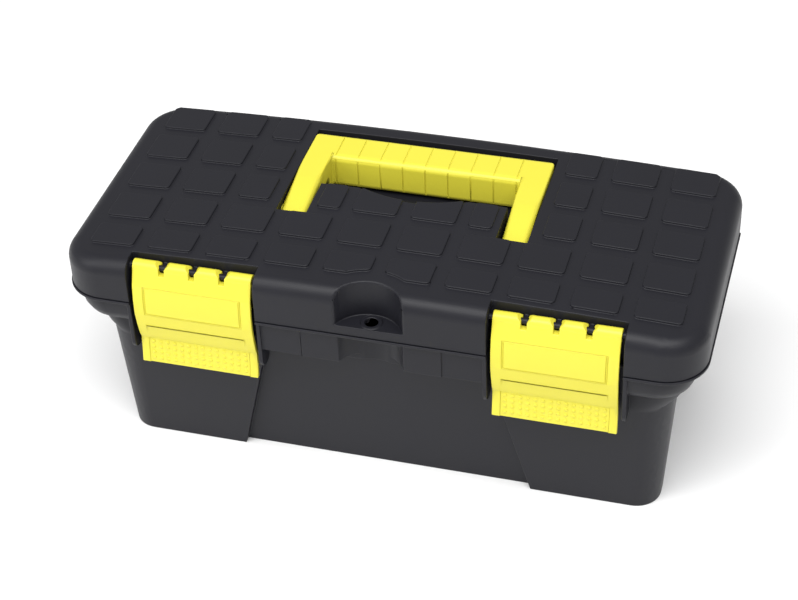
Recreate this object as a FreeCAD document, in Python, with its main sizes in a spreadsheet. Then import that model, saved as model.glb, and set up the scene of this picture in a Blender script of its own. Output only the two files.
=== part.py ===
import FreeCAD, Part
import math
import os
import re

import Sketcher

# Moulded polypropylene tool box, 321 mm long: a drafted tub, a crowned lid on two steel
# rods, a folding carry handle, two front latches and a lift-out tray with two dividers.
# X runs left to right, the front faces -Y, Z is up and the ground is Z = 0.

SIZES = [
    # overall
    ("lid_length", 321.0, "lid, left to right"),
    ("lid_width", 146.0, "lid, front to back"),
    ("lid_corner", 21.5, "lid corner radius, seen from above"),
    ("lid_edge", 8.0, "rounding of the lid's top edge"),
    ("lid_wall", 2.5, "lid wall"),
    ("skin", 0.2, "inner walls, inside the lid's outer face"),
    ("lid_rise", 25.3, "lid's lower edge to its field, at the middle"),
    ("crown_drop", 3.8, "fall of the lid's field from the middle to the ends"),
    ("parting_height", 98.0, "lid's lower edge above the ground"),
    ("parting_gap", 0.3, "gap between the lid and the tub"),
    # raised tiles on the lid
    ("tile_rise", 1.2, "tile above the lid's field"),
    ("tile_gap", 7.25, "gap between tiles"),
    ("tile_margin", 13.1, "lid's end to the first tile"),
    ("tile_row_pitch", 27.0, "tile rows, front edge to front edge"),
    ("tile_depth", 19.8, "tile, front to back"),
    ("tile_back_margin", 6.7, "lid's back to the first row"),
    ("front_tile_depth", 15.6, "tile of the front row, front to back"),
    ("tile_corner", 2.2, "tile corner radius, seen from above"),
    ("tile_recess_gap", 5.85, "handle recess to the tiles beside it"),
    ("tile_scallop_gap", 8.0, "padlock scallop to the tiles behind it"),
    ("bridge_tile_front", 5.5, "leg slot's front to the tiles between the legs"),
    ("bridge_tile_back", 1.0, "those tiles to the field's back edge"),
    ("bridge_tile_side", 3.7, "leg slot to the first of those tiles"),
    ("bridge_tile_narrow", 12.0, "first of those tiles, left to right"),
    ("bridge_tile_gap", 6.4, "gap beside it"),
    # tub
    ("tub_wall", 2.2, "tub wall and inner walls"),
    ("rim_inset", 2.0, "tub rim inside the lid's outline, front and back"),
    ("rim_inset_ends", 4.3, "tub rim inside the lid's outline, at the ends"),
    ("rim_corner", 18.0, "tub rim corner radius"),
    ("base_inset_ends", 19.7, "tub base inside the lid's outline, at the ends"),
    ("base_inset_sides", 16.2, "tub base inside the lid's outline, front and back"),
    ("base_corner", 13.0, "tub base corner radius"),
    ("wall_draft_ends", 4.3, "lean of the end walls up to the shoulder"),
    ("wall_draft_sides", 5.6, "lean of the long walls up to the rim band"),
    ("band_height", 18.0, "rim band on the long walls"),
    ("band_step", 5.0, "height of the step under the rim band"),
    ("shoulder_height", 29.5, "lid's edge down to the foot of the rounded shoulder"),
    ("middle_band", 19.0, "rim band between the latches"),
    ("band_pad_half", 35.5, "raised middle of that band, half width"),
    ("band_pad_rise", 0.4, "raised middle of that band"),
    ("flange_out", 0.6, "rim flange beyond the lid's outline"),
    ("rim_flange", 1.4, "rim flange, top to bottom"),
    ("panel_half_base", 76.1, "sunk front panel, half width at the ground"),
    ("panel_half_top", 57.0, "sunk front panel, half width under the band"),
    ("panel_depth", 3.9, "sunk front and end panels behind their walls"),
    ("backing_inset", 0.6, "blocks behind a sunk panel, inside the wall's face"),
    ("guard_inset", 0.6, "guard rib's front, behind the lid's front"),
    ("end_panel_half_base", 38.0, "sunk end panel, half width at the ground"),
    ("end_panel_half_top", 31.0, "sunk end panel, half width under the shoulder"),
    # latches
    ("latch_spread", 90.5, "latch centre from the middle"),
    ("latch_width", 61.4, "latch, left to right"),
    ("latch_gap", 2.05, "latch to the side of its bay"),
    ("latch_plate", 2.2, "latch plate"),
    ("hook_inset", 5.0, "latch's side to the end of its hook"),
    ("hook_height", 2.5, "latch hook, top to bottom"),
    ("catch_inset", 4.0, "latch's side to the end of its catch nose"),
    ("clip_mouth", 0.6, "top of the clip's mouth below the bar's axis"),
    ("clip_lip", 0.4, "front of the clip's mouth before the bar's axis"),
    ("bay_depth", 12.0, "latch bay, from the lid's front"),
    ("bar_inset", 8.0, "latch bar, from the lid's front"),
    ("bar_rise", 18.2, "latch bar above the lid's edge"),
    ("bar_radius", 1.5, "latch bar"),
    ("clip_radius", 3.4, "latch clip, outside"),
    ("running_fit", 0.05, "radial clearance of every turning fit"),
    ("notch_pitch", 15.6, "notches of the latch"),
    ("notch_width", 2.9, "notch of the latch"),
    ("notch_drop", 2.2, "notch's bottom below the latch bar"),
    ("notch_flare", 2.2, "widening at the notch's mouth, each side"),
    ("bar_rib", 2.2, "rib that carries the latch bar"),
    ("pocket_depth", 7.5, "tub's latch pocket, from the lid's front"),
    ("guard_rib", 2.0, "guard rib beside a latch"),
    ("guard_length", 31.0, "guard rib below the lid's edge"),
    ("catch_drop", 8.5, "catch nose below the lid's edge"),
    ("catch_height", 3.0, "catch nose, top to bottom"),
    ("catch_reach", 2.9, "catch nose out of its pocket"),
    ("catch_clear", 0.3, "latch hook to catch nose"),
    ("frame_half", 25.3, "sunk frame line of the latch, half width"),
    ("frame_line", 0.8, "sunk frame line, width"),
    ("frame_sunk", 0.4, "sunk frame line and grip field, depth"),
    ("grip_field_half", 26.6, "sunk grip field of the latch, half width"),
    # carry handle and its recess
    ("handle_half", 63.8, "handle, half width outside"),
    ("leg_width", 13.5, "handle leg"),
    ("grip_depth", 21.0, "handle grip, front to back"),
    ("grip_thickness", 19.0, "handle grip, top to bottom"),
    ("leg_thickness", 9.6, "handle leg, top to bottom"),
    ("handle_reach", 60.0, "pivot to the back of the grip"),
    ("handle_nose", 8.0, "pivot to the front of the leg"),
    ("leg_nose", 6.0, "pivot to the underside of the leg"),
    ("leg_slope", 27.0, "sloping stretch of the leg"),
    ("leg_fall", 5.3, "fall of that stretch"),
    ("grip_rounding", 3.5, "rounding of the grip's long edges"),
    ("handle_pivot_back", 4.0, "handle pivot in front of the lid's middle"),
    ("handle_pivot_rise", 17.0, "handle pivot above the lid's edge"),
    ("handle_proud", 0.9, "grip above the lid's field"),
    ("recess_gap", 0.7, "handle to the sides of its recess"),
    ("slot_gap", 1.6, "leg to the field between the legs"),
    ("nose_corner", 3.0, "leg nose corners, seen from above"),
    ("handle_corner", 4.0, "outer corners of the handle, seen from above"),
    ("grip_groove_pitch", 12.0, "grooves round the grip"),
    ("grip_groove", 0.8, "groove width"),
    ("grip_groove_sunk", 0.5, "groove depth"),
    ("recess_front_gap", 1.5, "leg to the front of its slot"),
    ("recess_back_gap", 4.0, "grip to the back of its recess"),
    ("well_floor", 6.0, "floor of the recess above the lid's edge"),
    ("peg_radius", 3.0, "handle peg"),
    ("peg_length", 2.6, "handle peg out of the leg"),
    ("peg_boss", 2.5, "wall of the boss round a peg"),
    ("underside_slope", 6.0, "slope from the leg down to the grip's underside"),
    ("bridge_back", 12.7, "back edge of the field between the legs"),
    ("scoop_radius", 60.0, "finger scoop in that edge"),
    ("scoop_depth", 7.2, "finger scoop, front to back"),
    ("scoop_height", 9.0, "finger scoop, top to bottom"),
    # padlock eye
    ("scallop_radius", 18.2, "padlock scallop"),
    ("scallop_out", 6.2, "scallop's axis in front of the lid"),
    ("shelf_rise", 5.2, "top of the lid's padlock shelf above its edge"),
    ("shelf_inset", 6.0, "padlock eye, from the lid's front"),
    ("eye_radius", 3.3, "padlock eye"),
    ("eye_ring", 5.4, "raised ring round the eye, outer radius"),
    ("eye_ring_rise", 0.4, "raised ring"),
    # hinges
    ("hinge_spread", 95.0, "hinge centre from the middle"),
    ("hinge_inset", 3.6, "hinge axis, from the lid's back"),
    ("hinge_drop", 2.5, "hinge axis below the lid's edge"),
    ("knuckle_radius", 3.4, "hinge knuckle"),
    ("hinge_width", 40.0, "hinge, left to right"),
    ("hinge_bay_gap", 1.5, "hinge to the sides and floor of its bay"),
    ("hinge_back_gap", 1.0, "tub's knuckle to the wall behind it"),
    ("hinge_top_gap", 0.8, "tub's knuckle to the lid above it"),
    ("lid_knuckle", 15.2, "lid's knuckle, left to right"),
    ("knuckle_gap", 0.4, "gap between knuckles"),
    ("pin_radius", 1.5, "steel hinge rod"),
    # tray
    ("tray_rim_drop", 10.0, "tray rim below the lid's edge"),
    ("tray_depth", 38.0, "tray, top to bottom"),
    ("tray_wall", 1.8, "tray wall"),
    ("tray_end_gap", 21.3, "tray's end wall inside the lid's outline"),
    ("tray_side_gap", 18.5, "tray's long wall inside the lid's outline"),
    ("tray_draft", 3.0, "lean of the tray walls"),
    ("tray_corner", 10.0, "tray corner radius"),
    ("tray_flange", 11.0, "end flange that the tray hangs by"),
    ("flange_thickness", 2.0, "end flange"),
    ("rest_rib", 2.4, "rib that carries the tray"),
    ("rest_spread", 30.0, "tray ribs, from the middle"),
    ("rest_gap", 1.5, "tray's end wall to its ribs"),
    ("rest_foot", 2.0, "foot of the tray ribs above the front panel's top"),
    ("channel_back", 10.2, "back of the long compartment's wall, before the middle"),
    ("cell_half", 42.0, "middle compartment, half width"),
    ("grip_bar", 14.0, "tray grip bar, front to back"),
    ("grip_bar_height", 7.0, "tray grip bar, top to bottom"),
    ("grip_bar_back", 23.0, "tray grip bar behind the middle"),
    ("divider_spread", 95.0, "divider from the middle"),
    ("divider_thickness", 1.6, "divider"),
    ("divider_gap", 0.35, "divider to its guides"),
    ("guide_rib", 1.6, "guide rib of a divider"),
    ("guide_depth", 2.4, "guide rib out of the wall"),
    ("guide_drop", 2.0, "inner walls and guides below the tray's rim"),
    ("divider_drop", 1.0, "divider below its guides"),
]

doc = FreeCAD.newDocument("tool_box")
sheet = doc.addObject("Spreadsheet::Sheet", "Sizes")
NAMES = {name for name, size, note in SIZES}
for row, (name, size, note) in enumerate(SIZES, start=1):
    sheet.set(f"A{row}", note)
    sheet.set(f"B{row}", str(size))
    sheet.setAlias(f"B{row}", name)
doc.recompute()


def formula(text):
    """A formula in size names, written as the spreadsheet's own aliases."""
    def alias(match):
        word = match.group(0)
        return f"Sizes.{word}" if word in NAMES else word
    return re.sub(r"[A-Za-z_]+", alias, str(text))


def bind(thing, **formulas):
    for key, text in formulas.items():
        thing.setExpression(key, formula(text))


def place(thing, x="0", y="0", z="0"):
    bind_path = {".Placement.Base.x": x, ".Placement.Base.y": y, ".Placement.Base.z": z}
    for path, text in bind_path.items():
        thing.setExpression(path, formula(text))


def value(text):
    """The number that a formula in size names gives."""
    sizes = {name: float(sheet.get(name)) for name in NAMES}
    numbers = re.sub(r"[A-Za-z_]+", lambda m: repr(sizes[m.group(0)]), text)
    probe = FreeCAD.Units.Quantity(numbers)
    return probe.Value


# ---- building blocks -------------------------------------------------------------------

def box(name, x, y, z):
    """A block between two formulas on each axis."""
    block = doc.addObject("Part::Box", name)
    bind(block, Length=f"({x[1]}) - ({x[0]})", Width=f"({y[1]}) - ({y[0]})",
         Height=f"({z[1]}) - ({z[0]})")
    place(block, x[0], y[0], z[0])
    return block


def tapered_block(name, z, low, high):
    """A block with flat ends at two heights; low and high are (x0, x1, y0, y1)."""
    block = doc.addObject("Part::Wedge", name)
    block.Placement = FreeCAD.Placement(FreeCAD.Vector(), FreeCAD.Rotation(FreeCAD.Vector(1, 0, 0), 90))
    bind(block, Ymin=z[0], Ymax=z[1],
         Xmin=low[0], Xmax=low[1], Zmin=f"-({low[3]})", Zmax=f"-({low[2]})",
         X2min=high[0], X2max=high[1], Z2min=f"-({high[3]})", Z2max=f"-({high[2]})")
    return block


def rod(name, radius, x, y, z):
    """A cylinder along X between two formulas."""
    bar = doc.addObject("Part::Cylinder", name)
    bar.Placement = FreeCAD.Placement(FreeCAD.Vector(), FreeCAD.Rotation(FreeCAD.Vector(0, 1, 0), 90))
    bind(bar, Radius=radius, Height=f"({x[1]}) - ({x[0]})")
    place(bar, x[0], y, z)
    return bar


def post(name, radius, x, y, z):
    """An upright cylinder between two heights."""
    stem = doc.addObject("Part::Cylinder", name)
    bind(stem, Radius=radius, Height=f"({z[1]}) - ({z[0]})")
    place(stem, x, y, z[0])
    return stem


def fuse(name, pieces):
    joined = doc.addObject("Part::MultiFuse", name)
    joined.Shapes = pieces
    return joined


def cut(name, base, tool):
    left = doc.addObject("Part::Cut", name)
    left.Base = base
    left.Tool = tool
    return left


def common(name, pieces):
    shared = doc.addObject("Part::MultiCommon", name)
    shared.Shapes = pieces
    return shared


def new_body(name):
    return doc.addObject("PartDesign::Body", name)


def sketch_on(body, name, plane, lift="0"):
    """A sketch flat on one of the body's own origin planes, lifted along its normal."""
    drawing = body.newObject("Sketcher::SketchObject", name)
    support = [part for part in body.Origin.OriginFeatures if part.Role == plane][0]
    drawing.AttachmentSupport = (support, [""])
    drawing.MapMode = "FlatFace"
    drawing.setExpression(".AttachmentOffset.Base.z", formula(lift))
    return drawing


ORIGIN = (-1, 1)
START, END, CENTRE = 1, 2, 3


def fix_point(drawing, point, u, v):
    """Hold a sketch point at two formulas, counted from the sketch's origin."""
    for kind, text in (("DistanceX", u), ("DistanceY", v)):
        index = drawing.addConstraint(Sketcher.Constraint(kind, *ORIGIN, *point, value(text)))
        drawing.setExpression(f"Constraints[{index}]", formula(text))


def outline(body, name, plane, corners, lift="0"):
    """A closed outline of straight lines through corners given as formulas."""
    drawing = sketch_on(body, name, plane, lift)
    points = [FreeCAD.Vector(value(u), value(v), 0) for u, v in corners]
    count = len(points)
    for i in range(count):
        drawing.addGeometry(Part.LineSegment(points[i], points[(i + 1) % count]))
    for i in range(count):
        drawing.addConstraint(Sketcher.Constraint("Coincident", i, END, (i + 1) % count, START))
    for i, (u, v) in enumerate(corners):
        fix_point(drawing, (i, START), u, v)
    return drawing


def rounded_rectangle(body, name, lift, half_x, half_y, radius):
    """A rectangle about the Z axis with equal rounded corners."""
    drawing = sketch_on(body, name, "XY_Plane", lift)
    hx, hy, r = value(half_x), value(half_y), value(radius)
    turns = [(1, -1, -90), (1, 1, 0), (-1, 1, 90), (-1, -1, 180)]
    arcs = []
    for sx, sy, start in turns:
        centre = FreeCAD.Vector(sx * (hx - r), sy * (hy - r), 0)
        circle = Part.Circle(centre, FreeCAD.Vector(0, 0, 1), r)
        arcs.append(Part.ArcOfCircle(circle, math.radians(start), math.radians(start + 90)))
    for i, arc in enumerate(arcs):
        drawing.addGeometry(Part.LineSegment(arcs[i - 1].EndPoint, arc.StartPoint))
        drawing.addGeometry(arc)
    for i in range(4):
        line, arc, after = 2 * i, 2 * i + 1, (2 * i + 2) % 8
        drawing.addConstraint(Sketcher.Constraint("Tangent", line, END, arc, START))
        drawing.addConstraint(Sketcher.Constraint("Tangent", arc, END, after, START))
    for i in range(1, 4):
        drawing.addConstraint(Sketcher.Constraint("Equal", 1, 2 * i + 1))
    for line, kind in ((0, "Horizontal"), (2, "Vertical"), (4, "Horizontal"), (6, "Vertical")):
        drawing.addConstraint(Sketcher.Constraint(kind, line))
    rules = [(Sketcher.Constraint("Radius", 1, r), radius),
             (Sketcher.Constraint("DistanceX", *ORIGIN, 2, START, hx), half_x),
             (Sketcher.Constraint("DistanceX", 6, START, *ORIGIN, hx), half_x),
             (Sketcher.Constraint("DistanceY", *ORIGIN, 4, START, hy), half_y),
             (Sketcher.Constraint("DistanceY", 0, START, *ORIGIN, hy), half_y)]
    for rule, text in rules:
        index = drawing.addConstraint(rule)
        drawing.setExpression(f"Constraints[{index}]", formula(text))
    return drawing


def pad(body, name, drawing, length, both_ways=False):
    solid = body.newObject("PartDesign::Pad", name)
    solid.Profile = drawing
    solid.Midplane = both_ways
    bind(solid, Length=length)
    return solid


def pocket(body, name, drawing, length, both_ways=False):
    hollow = body.newObject("PartDesign::Pocket", name)
    hollow.Profile = drawing
    hollow.Midplane = both_ways
    bind(hollow, Length=length)
    return hollow


def loft(body, name, kind, rows):
    """A straight-sided loft through rounded rectangles: (height, half x, half y, radius)."""
    drawings = [rounded_rectangle(body, f"{name}_row{i}", *row) for i, row in enumerate(rows)]
    skin = body.newObject(kind, name)
    skin.Profile = drawings[0]
    skin.Sections = drawings[1:]
    skin.Ruled = True
    return skin


def fillet(body, name, base, radius, chosen):
    """Round the edges of a feature for which chosen(edge) is true."""
    doc.recompute()
    picked = [f"Edge{i}" for i, edge in enumerate(base.Shape.Edges, start=1) if chosen(edge)]
    rounding = body.newObject("PartDesign::Fillet", name)
    rounding.Base = (base, picked)
    bind(rounding, Radius=radius)
    return rounding


def lies_along(edge, axis, length):
    """Whether an edge is straight along an axis (0, 1 or 2) and at least that long."""
    spans = [edge.BoundBox.XLength, edge.BoundBox.YLength, edge.BoundBox.ZLength]
    others = [span for i, span in enumerate(spans) if i != axis]
    return spans[axis] > length and max(others) < 0.01


CROWN_RADIUS = "((lid_length / 2) ^ 2 + crown_drop ^ 2) / (2 * crown_drop)"
FIELD = "(parting_height + lid_rise)"


def crowned_block(name, half_x, half_y, corner, bottom, top):
    """A rounded block whose top is a long arch that falls towards the ends."""
    body = new_body(name)
    plan = rounded_rectangle(body, f"{name}_plan", bottom, half_x, half_y, corner)
    pad(body, f"{name}_pad", plan, f"{top} - ({bottom}) + crown_drop")
    arch = sketch_on(body, f"{name}_arch", "XZ_Plane")
    radius, reach, crest = value(CROWN_RADIUS), value(half_x) + 5, value(top)
    over = crest + 2 * value("crown_drop")
    lean = math.acos(reach / radius)
    circle = Part.Circle(FreeCAD.Vector(0, crest - radius, 0), FreeCAD.Vector(0, 0, 1), radius)
    arc = Part.ArcOfCircle(circle, lean, math.pi - lean)
    arch.addGeometry(arc)
    ends = [arc.EndPoint, FreeCAD.Vector(-reach, over, 0), FreeCAD.Vector(reach, over, 0), arc.StartPoint]
    for i in range(3):
        arch.addGeometry(Part.LineSegment(ends[i], ends[i + 1]))
    joints = [(0, END, 1, START), (1, END, 2, START), (2, END, 3, START), (3, END, 0, START)]
    for joint in joints:
        arch.addConstraint(Sketcher.Constraint("Coincident", *joint))
    index = arch.addConstraint(Sketcher.Constraint("Radius", 0, radius))
    arch.setExpression(f"Constraints[{index}]", formula(CROWN_RADIUS))
    fix_point(arch, (0, CENTRE), "0", f"{top} - {CROWN_RADIUS}")
    fix_point(arch, (2, START), f"-({half_x}) - 5", f"{top} + 2 * crown_drop")
    fix_point(arch, (3, START), f"({half_x}) + 5", f"{top} + 2 * crown_drop")
    for line in (1, 3):
        arch.addConstraint(Sketcher.Constraint("Vertical", line))
    pocket(body, f"{name}_crown", arch, f"4 * ({half_y})", both_ways=True)
    return body


def round_top(body, radius):
    """Round the edge that runs right round a crowned block's top."""
    base = body.Tip
    doc.recompute()
    floor = base.Shape.BoundBox.ZMin

    def on_top(edge):
        upright = edge.BoundBox.ZLength > edge.Length * 0.9
        return edge.BoundBox.ZMin > floor + 1 and not upright
    return fillet(body, f"{body.Name}_round", base, radius, on_top)


def mirrored(sign, low, high):
    """The range between two distances on one side of the middle, lower end first."""
    return (low, high) if sign > 0 else (f"-({high})", f"-({low})")


SIDES = (("left", -1), ("right", 1))
PIECES = []


def finished(label, thing):
    thing.Label = label
    PIECES.append(thing)
    return thing


# ---- lines that several pieces share -----------------------------------------------------

FRONT = "-(lid_width / 2)"
LID_X = "(lid_length / 2)"
LID_Y = "(lid_width / 2)"
RIM_X = "(lid_length / 2 - rim_inset_ends)"
RIM_Y = "(lid_width / 2 - rim_inset)"
RIM_TOP = "(parting_height - parting_gap)"
BASE_X = "(lid_length / 2 - base_inset_ends)"
BASE_Y = "(lid_width / 2 - base_inset_sides)"
SHOULDER_X = f"({BASE_X} + wall_draft_ends)"
WALL_Y = f"({BASE_Y} + wall_draft_sides)"
BAND_LOW = "(parting_height - band_height)"
PANEL_TOP = f"({BAND_LOW} - band_step)"
SHOULDER_LOW = "(parting_height - shoulder_height)"
POCKET_Y = "(lid_width / 2 - pocket_depth)"
BAY_HALF = "(latch_width / 2 + latch_gap)"
BAR_Y = f"({FRONT} + bar_inset)"
BAR_Z = "(parting_height + bar_rise)"
EYE_Y = f"({FRONT} + shelf_inset)"
HINGE_Y = "(lid_width / 2 - hinge_inset)"
HINGE_Z = "(parting_height - hinge_drop)"
HINGE_BAY = "(hinge_width / 2 + hinge_bay_gap)"
TRAY_TOP = "(parting_height - tray_rim_drop)"
TRAY_REST = f"({TRAY_TOP} - flange_thickness - parting_gap)"
TRAY_X = "(lid_length / 2 - tray_end_gap)"
TRAY_Y = "(lid_width / 2 - tray_side_gap)"
# How far a cutter stands out past the box, and runs past a face, and how deep a joint bites.
CLEAR = "20"
OVER = "5"
BITE = "1"


def padlock_post(name, radius, z):
    """A block round the axis of the padlock scallop, which stands in front of the box."""
    return post(name, radius, "0", "-(lid_width / 2 + scallop_out)", z)


# ---- tub -------------------------------------------------------------------------------

# The flaring rim: depth below the lid's edge, then the share of the flare that is reached
# there at the ends and at the front. The ends swell out in a round shoulder; the front
# steps out to its band in a few millimetres.
SHOULDER = (("shoulder_height", 0, 0), ("shoulder_height - 3", 0.25, 0), ("shoulder_height - 6.5", 0.43, 0),
            ("band_height", 0.64, 0), ("band_height - 2", 0.71, 0.5), ("band_height - 4.5", 0.79, 0.8),
            ("band_height - 8.5", 0.90, 1), ("band_step", 1, 1))


def tub_rows(inset, lift, top):
    """Outlines of the tub from the base to the rim, all set in and lifted by a wall."""
    plain = [("0", BASE_X, BASE_Y, "base_corner")]
    for depth, end_share, front_share in SHOULDER:
        plain.append((f"parting_height - ({depth})",
                      f"{SHOULDER_X} + {end_share} * ({RIM_X} - {SHOULDER_X})",
                      f"{WALL_Y} + {front_share} * ({RIM_Y} - {WALL_Y})", "rim_corner"))
    rows = [(f"{z} + {lift}", f"{x} - {inset}", f"{y} - {inset}", f"{r} - {inset}")
            for z, x, y, r in plain]
    return rows + [(top, f"{RIM_X} - {inset}", f"{RIM_Y} - {inset}", f"rim_corner - {inset}")]


def front_panel(name, widen, z_top, front_low, front_high, back_low, back_high):
    """The sunk front panel's trapezoid between two leaning planes."""
    base, crest = f"(panel_half_base + {widen})", f"(panel_half_top + {widen})"
    return tapered_block(name, ("0", z_top), (f"-{base}", base, front_low, back_low),
                         (f"-{crest}", crest, front_high, back_high))


def end_panel(name, sign, widen, z_top, inner_low, inner_high, outer):
    """The sunk end panel's trapezoid, from an inner leaning plane out past the wall."""
    low = mirrored(sign, inner_low, f"{BASE_X} + {outer}")
    high = mirrored(sign, inner_high, f"{SHOULDER_X} + {outer}")
    base, crest = f"(end_panel_half_base + {widen})", f"(end_panel_half_top + {widen})"
    return tapered_block(name, ("0", z_top), (*low, f"-{base}", base), (*high, f"-{crest}", crest))


def middle_band(name, inset, y_back):
    """The deeper stretch of the rim band between the latches."""
    half = f"(latch_spread - {BAY_HALF} - guard_rib - {inset})"
    return box(name, (f"-{half}", half), (f"-{RIM_Y} + {inset}", y_back),
               (f"parting_height - middle_band + {inset}", f"{BAND_LOW} + band_height / 2"))


def rim_flange():
    """The lip along the tub's front and ends that the lid's edge closes on."""
    body = new_body("flange_body")
    low = f"{RIM_TOP} - rim_flange"
    plan = rounded_rectangle(body, "flange_plan", low, f"{LID_X} + flange_out", f"{LID_Y} + flange_out",
                             "lid_corner + flange_out")
    pad(body, "flange_pad", plan, "rim_flange")
    hole = rounded_rectangle(body, "flange_hole", f"{low} + rim_flange", f"{RIM_X} - tub_wall / 2",
                             f"{RIM_Y} - tub_wall / 2", "rim_corner - tub_wall / 2")
    pocket(body, "flange_ring", hole, "rim_flange")
    ahead = box("flange_reach", (f"-{LID_X} - {CLEAR}", f"{LID_X} + {CLEAR}"),
                (f"{FRONT} - {CLEAR}", f"{LID_Y} - lid_corner"),
                (f"{low} - {BITE}", f"{RIM_TOP} + {BITE}"))
    return common("flange_front_and_ends", [body, ahead])


def guard(name, x):
    """A rib beside a latch, with a round toe."""
    y = (f"{FRONT} + guard_inset", f"-{WALL_Y} + tub_wall / 2")
    reach = f"(({y[1]}) - ({y[0]}))"
    low = "parting_height - guard_length"
    return [box(name, x, y, (f"{low} + {reach} / 2", RIM_TOP)),
            rod(f"{name}_toe", f"{reach} / 2", x, f"{y[0]} + {reach} / 2", f"{low} + {reach} / 2")]


def make_tub():
    shell = new_body("tub_shell")
    loft(shell, "tub_outside", "PartDesign::AdditiveLoft", tub_rows("0", "0", RIM_TOP))
    block = new_body("tub_block")
    loft(block, "tub_block_skin", "PartDesign::AdditiveLoft", tub_rows("0", "0", RIM_TOP))
    loft(shell, "tub_inside", "PartDesign::SubtractiveLoft",
         tub_rows("tub_wall", "tub_wall", f"parting_height + {OVER}"))

    inner = "(panel_depth + tub_wall)"
    backing = [front_panel("panel_backing", "tub_wall", f"{PANEL_TOP} + tub_wall",
                           f"-({BASE_Y}) + backing_inset", f"-({WALL_Y}) + backing_inset",
                           f"-({BASE_Y}) + {inner}", f"-({WALL_Y}) + {inner}"),
               padlock_post("scallop_backing", "scallop_radius + tub_wall",
                            (f"{PANEL_TOP} - tub_wall", RIM_TOP))]
    cutters = [front_panel("panel_cut", "0", PANEL_TOP, f"-({BASE_Y}) - {CLEAR}", f"-({WALL_Y}) - {CLEAR}",
                           f"-({BASE_Y}) + panel_depth", f"-({WALL_Y}) + panel_depth"),
               padlock_post("scallop_cut", "scallop_radius", (PANEL_TOP, f"{RIM_TOP} - tub_wall")),
               cut("band_room", middle_band("band_inside", "tub_wall", f"-({WALL_Y}) + 1.5 * tub_wall"),
                   padlock_post("band_scallop", "scallop_radius + tub_wall", ("0", "parting_height")))]
    added = []
    for side, sign in SIDES:
        backing.append(end_panel(f"end_backing_{side}", sign, "tub_wall", f"{SHOULDER_LOW} + tub_wall",
                                 f"{BASE_X} - {inner}", f"{SHOULDER_X} - {inner}", "-backing_inset"))
        cutters.append(end_panel(f"end_cut_{side}", sign, "0", SHOULDER_LOW, f"{BASE_X} - panel_depth",
                                 f"{SHOULDER_X} - panel_depth", CLEAR))
        middle = f"{sign} * latch_spread"
        reach = (f"{middle} - {BAY_HALF}", f"{middle} + {BAY_HALF}")
        backing.append(box(f"pocket_wall_{side}", (f"{reach[0]} - guard_rib", f"{reach[1]} + guard_rib"),
                           (f"-{RIM_Y}", f"-{POCKET_Y} + tub_wall"), (PANEL_TOP, RIM_TOP)))
        cutters.append(box(f"pocket_cut_{side}", reach, (f"{FRONT} - {CLEAR}", f"-{POCKET_Y}"),
                           (SHOULDER_LOW, f"{RIM_TOP} + {OVER}")))
        added += guard(f"guard_a_{side}", (f"{reach[0]} - guard_rib", reach[0]))
        added += guard(f"guard_b_{side}", (reach[1], f"{reach[1]} + guard_rib"))
        nose_top = "parting_height - catch_drop"
        catch_half = "(latch_width / 2 - catch_inset)"
        added.append(box(f"catch_{side}", (f"{middle} - {catch_half}", f"{middle} + {catch_half}"),
                         (f"-{POCKET_Y} - catch_reach", f"-{POCKET_Y} + tub_wall / 2"),
                         (f"{nose_top} - catch_height", nose_top)))
        backing_rests, knuckles, hinge_cut = tub_fittings(side, sign)
        backing += backing_rests
        added += knuckles
        cutters.append(hinge_cut)
    outline_block = fuse("tub_envelope", [block, middle_band("band_envelope", "0",
                                                             f"-({WALL_Y}) + {BITE}")])
    inside = common("tub_backing_trimmed", [fuse("tub_backing", backing), outline_block])
    band = middle_band("band_block", "0", f"-({WALL_Y}) + {BITE}")
    pad_z = ("parting_height - middle_band", f"{RIM_TOP} - rim_flange")
    band_pad = box("band_pad", ("-band_pad_half", "band_pad_half"),
                   (f"-{RIM_Y} - band_pad_rise", f"-{RIM_Y} + tub_wall / 2"), pad_z)
    walls = cut("tub_walls", fuse("tub_filled", [shell, band, band_pad, rim_flange(), inside]),
                fuse("tub_cutters", cutters))
    whole = fuse("tub_with_lugs", [walls] + added)
    bore_half = f"(hinge_width / 2 + {BITE})"
    bores = [rod(f"tub_bore_{side}", "pin_radius",
                 (f"{sign} * hinge_spread - {bore_half}", f"{sign} * hinge_spread + {bore_half}"),
                 HINGE_Y, HINGE_Z) for side, sign in SIDES]
    bores.append(post("tub_eye", "eye_radius", "0", EYE_Y, (BAND_LOW, f"parting_height + {OVER}")))
    return finished("tub", cut("tub_solid", whole, fuse("tub_bores", bores)))


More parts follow.
